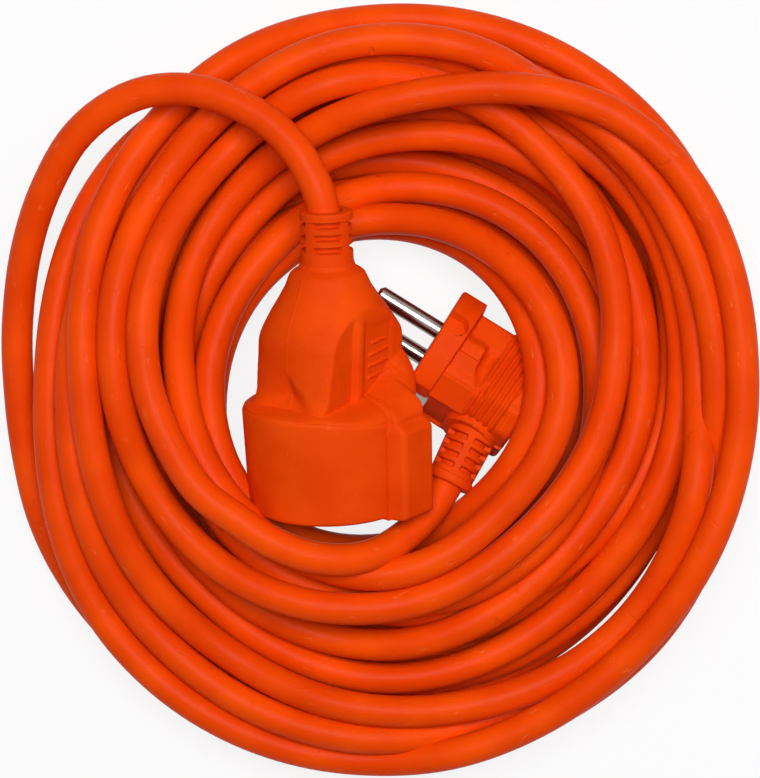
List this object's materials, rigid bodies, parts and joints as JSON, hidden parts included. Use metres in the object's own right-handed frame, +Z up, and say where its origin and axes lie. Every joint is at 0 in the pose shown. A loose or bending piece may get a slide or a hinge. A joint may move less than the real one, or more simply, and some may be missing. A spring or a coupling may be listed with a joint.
{
  "type": "extension cord",
  "caption": "Coiled earthed extension cord: long sheathed cable with a round angled plug on one end and a matching round trailing socket on the other.",
  "frame": {"origin": "centre of the bounding box on the ground", "axes": "+Z up from the ground; the coil lies flat, with the socket's face towards -Y and the plug on its +X side"},
  "size_m": [0.2021, 0.2071, 0.0599],
  "materials": {
    "orange_sheath": "satin PVC sheath with a fine grain",
    "orange_mouldings": "finely textured soft moulding",
    "grey_inserts": "hard moulding",
    "orange_carrier": "hard moulding",
    "plated_pins": "nickel plate",
    "plated_strip": "plated strip",
    "brass_contacts": "plain",
    "brown_core": "core insulation",
    "blue_core": "core insulation",
    "green_yellow_core": "core insulation"
  },
  "bodies": {
    "root": {"cable_coil": "orange_sheath", "socket_lead": "orange_sheath", "plug_lead": "orange_sheath", "socket_body": "orange_mouldings", "socket_strain_relief": "orange_mouldings", "socket_insert": "grey_inserts", "socket_insert_cover": "grey_inserts", "socket_live_contact": "brass_contacts", "socket_neutral_contact": "brass_contacts", "socket_earth_clip": "plated_strip", "socket_live_core": "brown_core", "socket_neutral_core": "blue_core", "socket_earth_core": "green_yellow_core", "socket_crimps": "plated_strip", "plug_body": "orange_mouldings", "plug_strain_relief": "orange_mouldings", "plug_bridge": "orange_carrier", "plug_live_pin": "plated_pins", "plug_neutral_pin": "plated_pins", "plug_earth_strap": "plated_strip", "plug_earth_contact": "brass_contacts", "plug_live_core": "brown_core", "plug_neutral_core": "blue_core", "plug_earth_core": "green_yellow_core", "plug_crimps": "plated_strip"}
  },
  "joints": []
}
